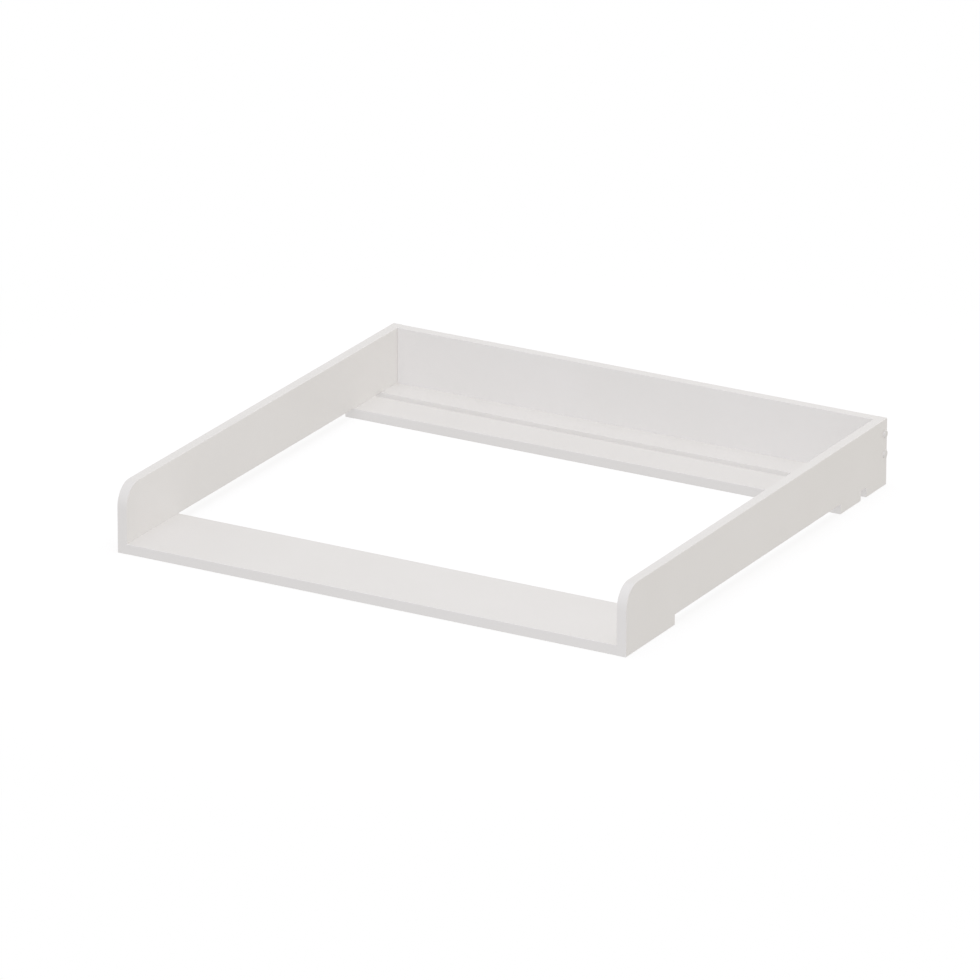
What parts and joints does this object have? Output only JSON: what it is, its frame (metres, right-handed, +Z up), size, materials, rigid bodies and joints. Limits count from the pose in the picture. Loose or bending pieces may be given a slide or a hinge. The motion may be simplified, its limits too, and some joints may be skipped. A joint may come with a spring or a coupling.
{
  "type": "changing top",
  "caption": "Low white frame that turns a dresser's top into a changing surface: sides with rounded front corners and feet, a back panel, a front board and rear slats.",
  "frame": {"origin": "on the surface that the feet stand on, in the middle of the footprint", "axes": "+X to the right for someone at the open front, +Y towards the back panel, +Z up"},
  "size_m": [0.8664, 0.825, 0.107],
  "materials": {
    "lacquered_board": "satin white lacquer on fibreboard, no grain showing",
    "beech": "raw, fluted",
    "die_cast_zinc": "dull cast metal",
    "plated_steel": "zinc plated",
    "white_plastic": "satin moulded"
  },
  "bodies": {
    "root": {"right_side_panel": "lacquered_board", "left_side_panel": "lacquered_board", "back_panel": "lacquered_board", "front_board": "lacquered_board", "front_slat": "lacquered_board", "rear_slat": "lacquered_board", "front_board_cams": "die_cast_zinc", "front_board_cam_bolt_right": "plated_steel", "front_board_dowels_right": "beech", "front_board_cam_bolt_left": "plated_steel", "front_board_dowels_left": "beech", "front_slat_cams": "die_cast_zinc", "front_slat_cam_bolt_right": "plated_steel", "front_slat_dowels_right": "beech", "front_slat_cam_bolt_left": "plated_steel", "front_slat_dowels_left": "beech", "rear_slat_cams": "die_cast_zinc", "rear_slat_cam_bolt_right": "plated_steel", "rear_slat_dowels_right": "beech", "rear_slat_cam_bolt_left": "plated_steel", "rear_slat_dowels_left": "beech", "back_panel_dowels": "beech", "back_panel_screws_right": "plated_steel", "back_panel_screws_left": "plated_steel", "screw_caps": "white_plastic"}
  },
  "joints": []
}
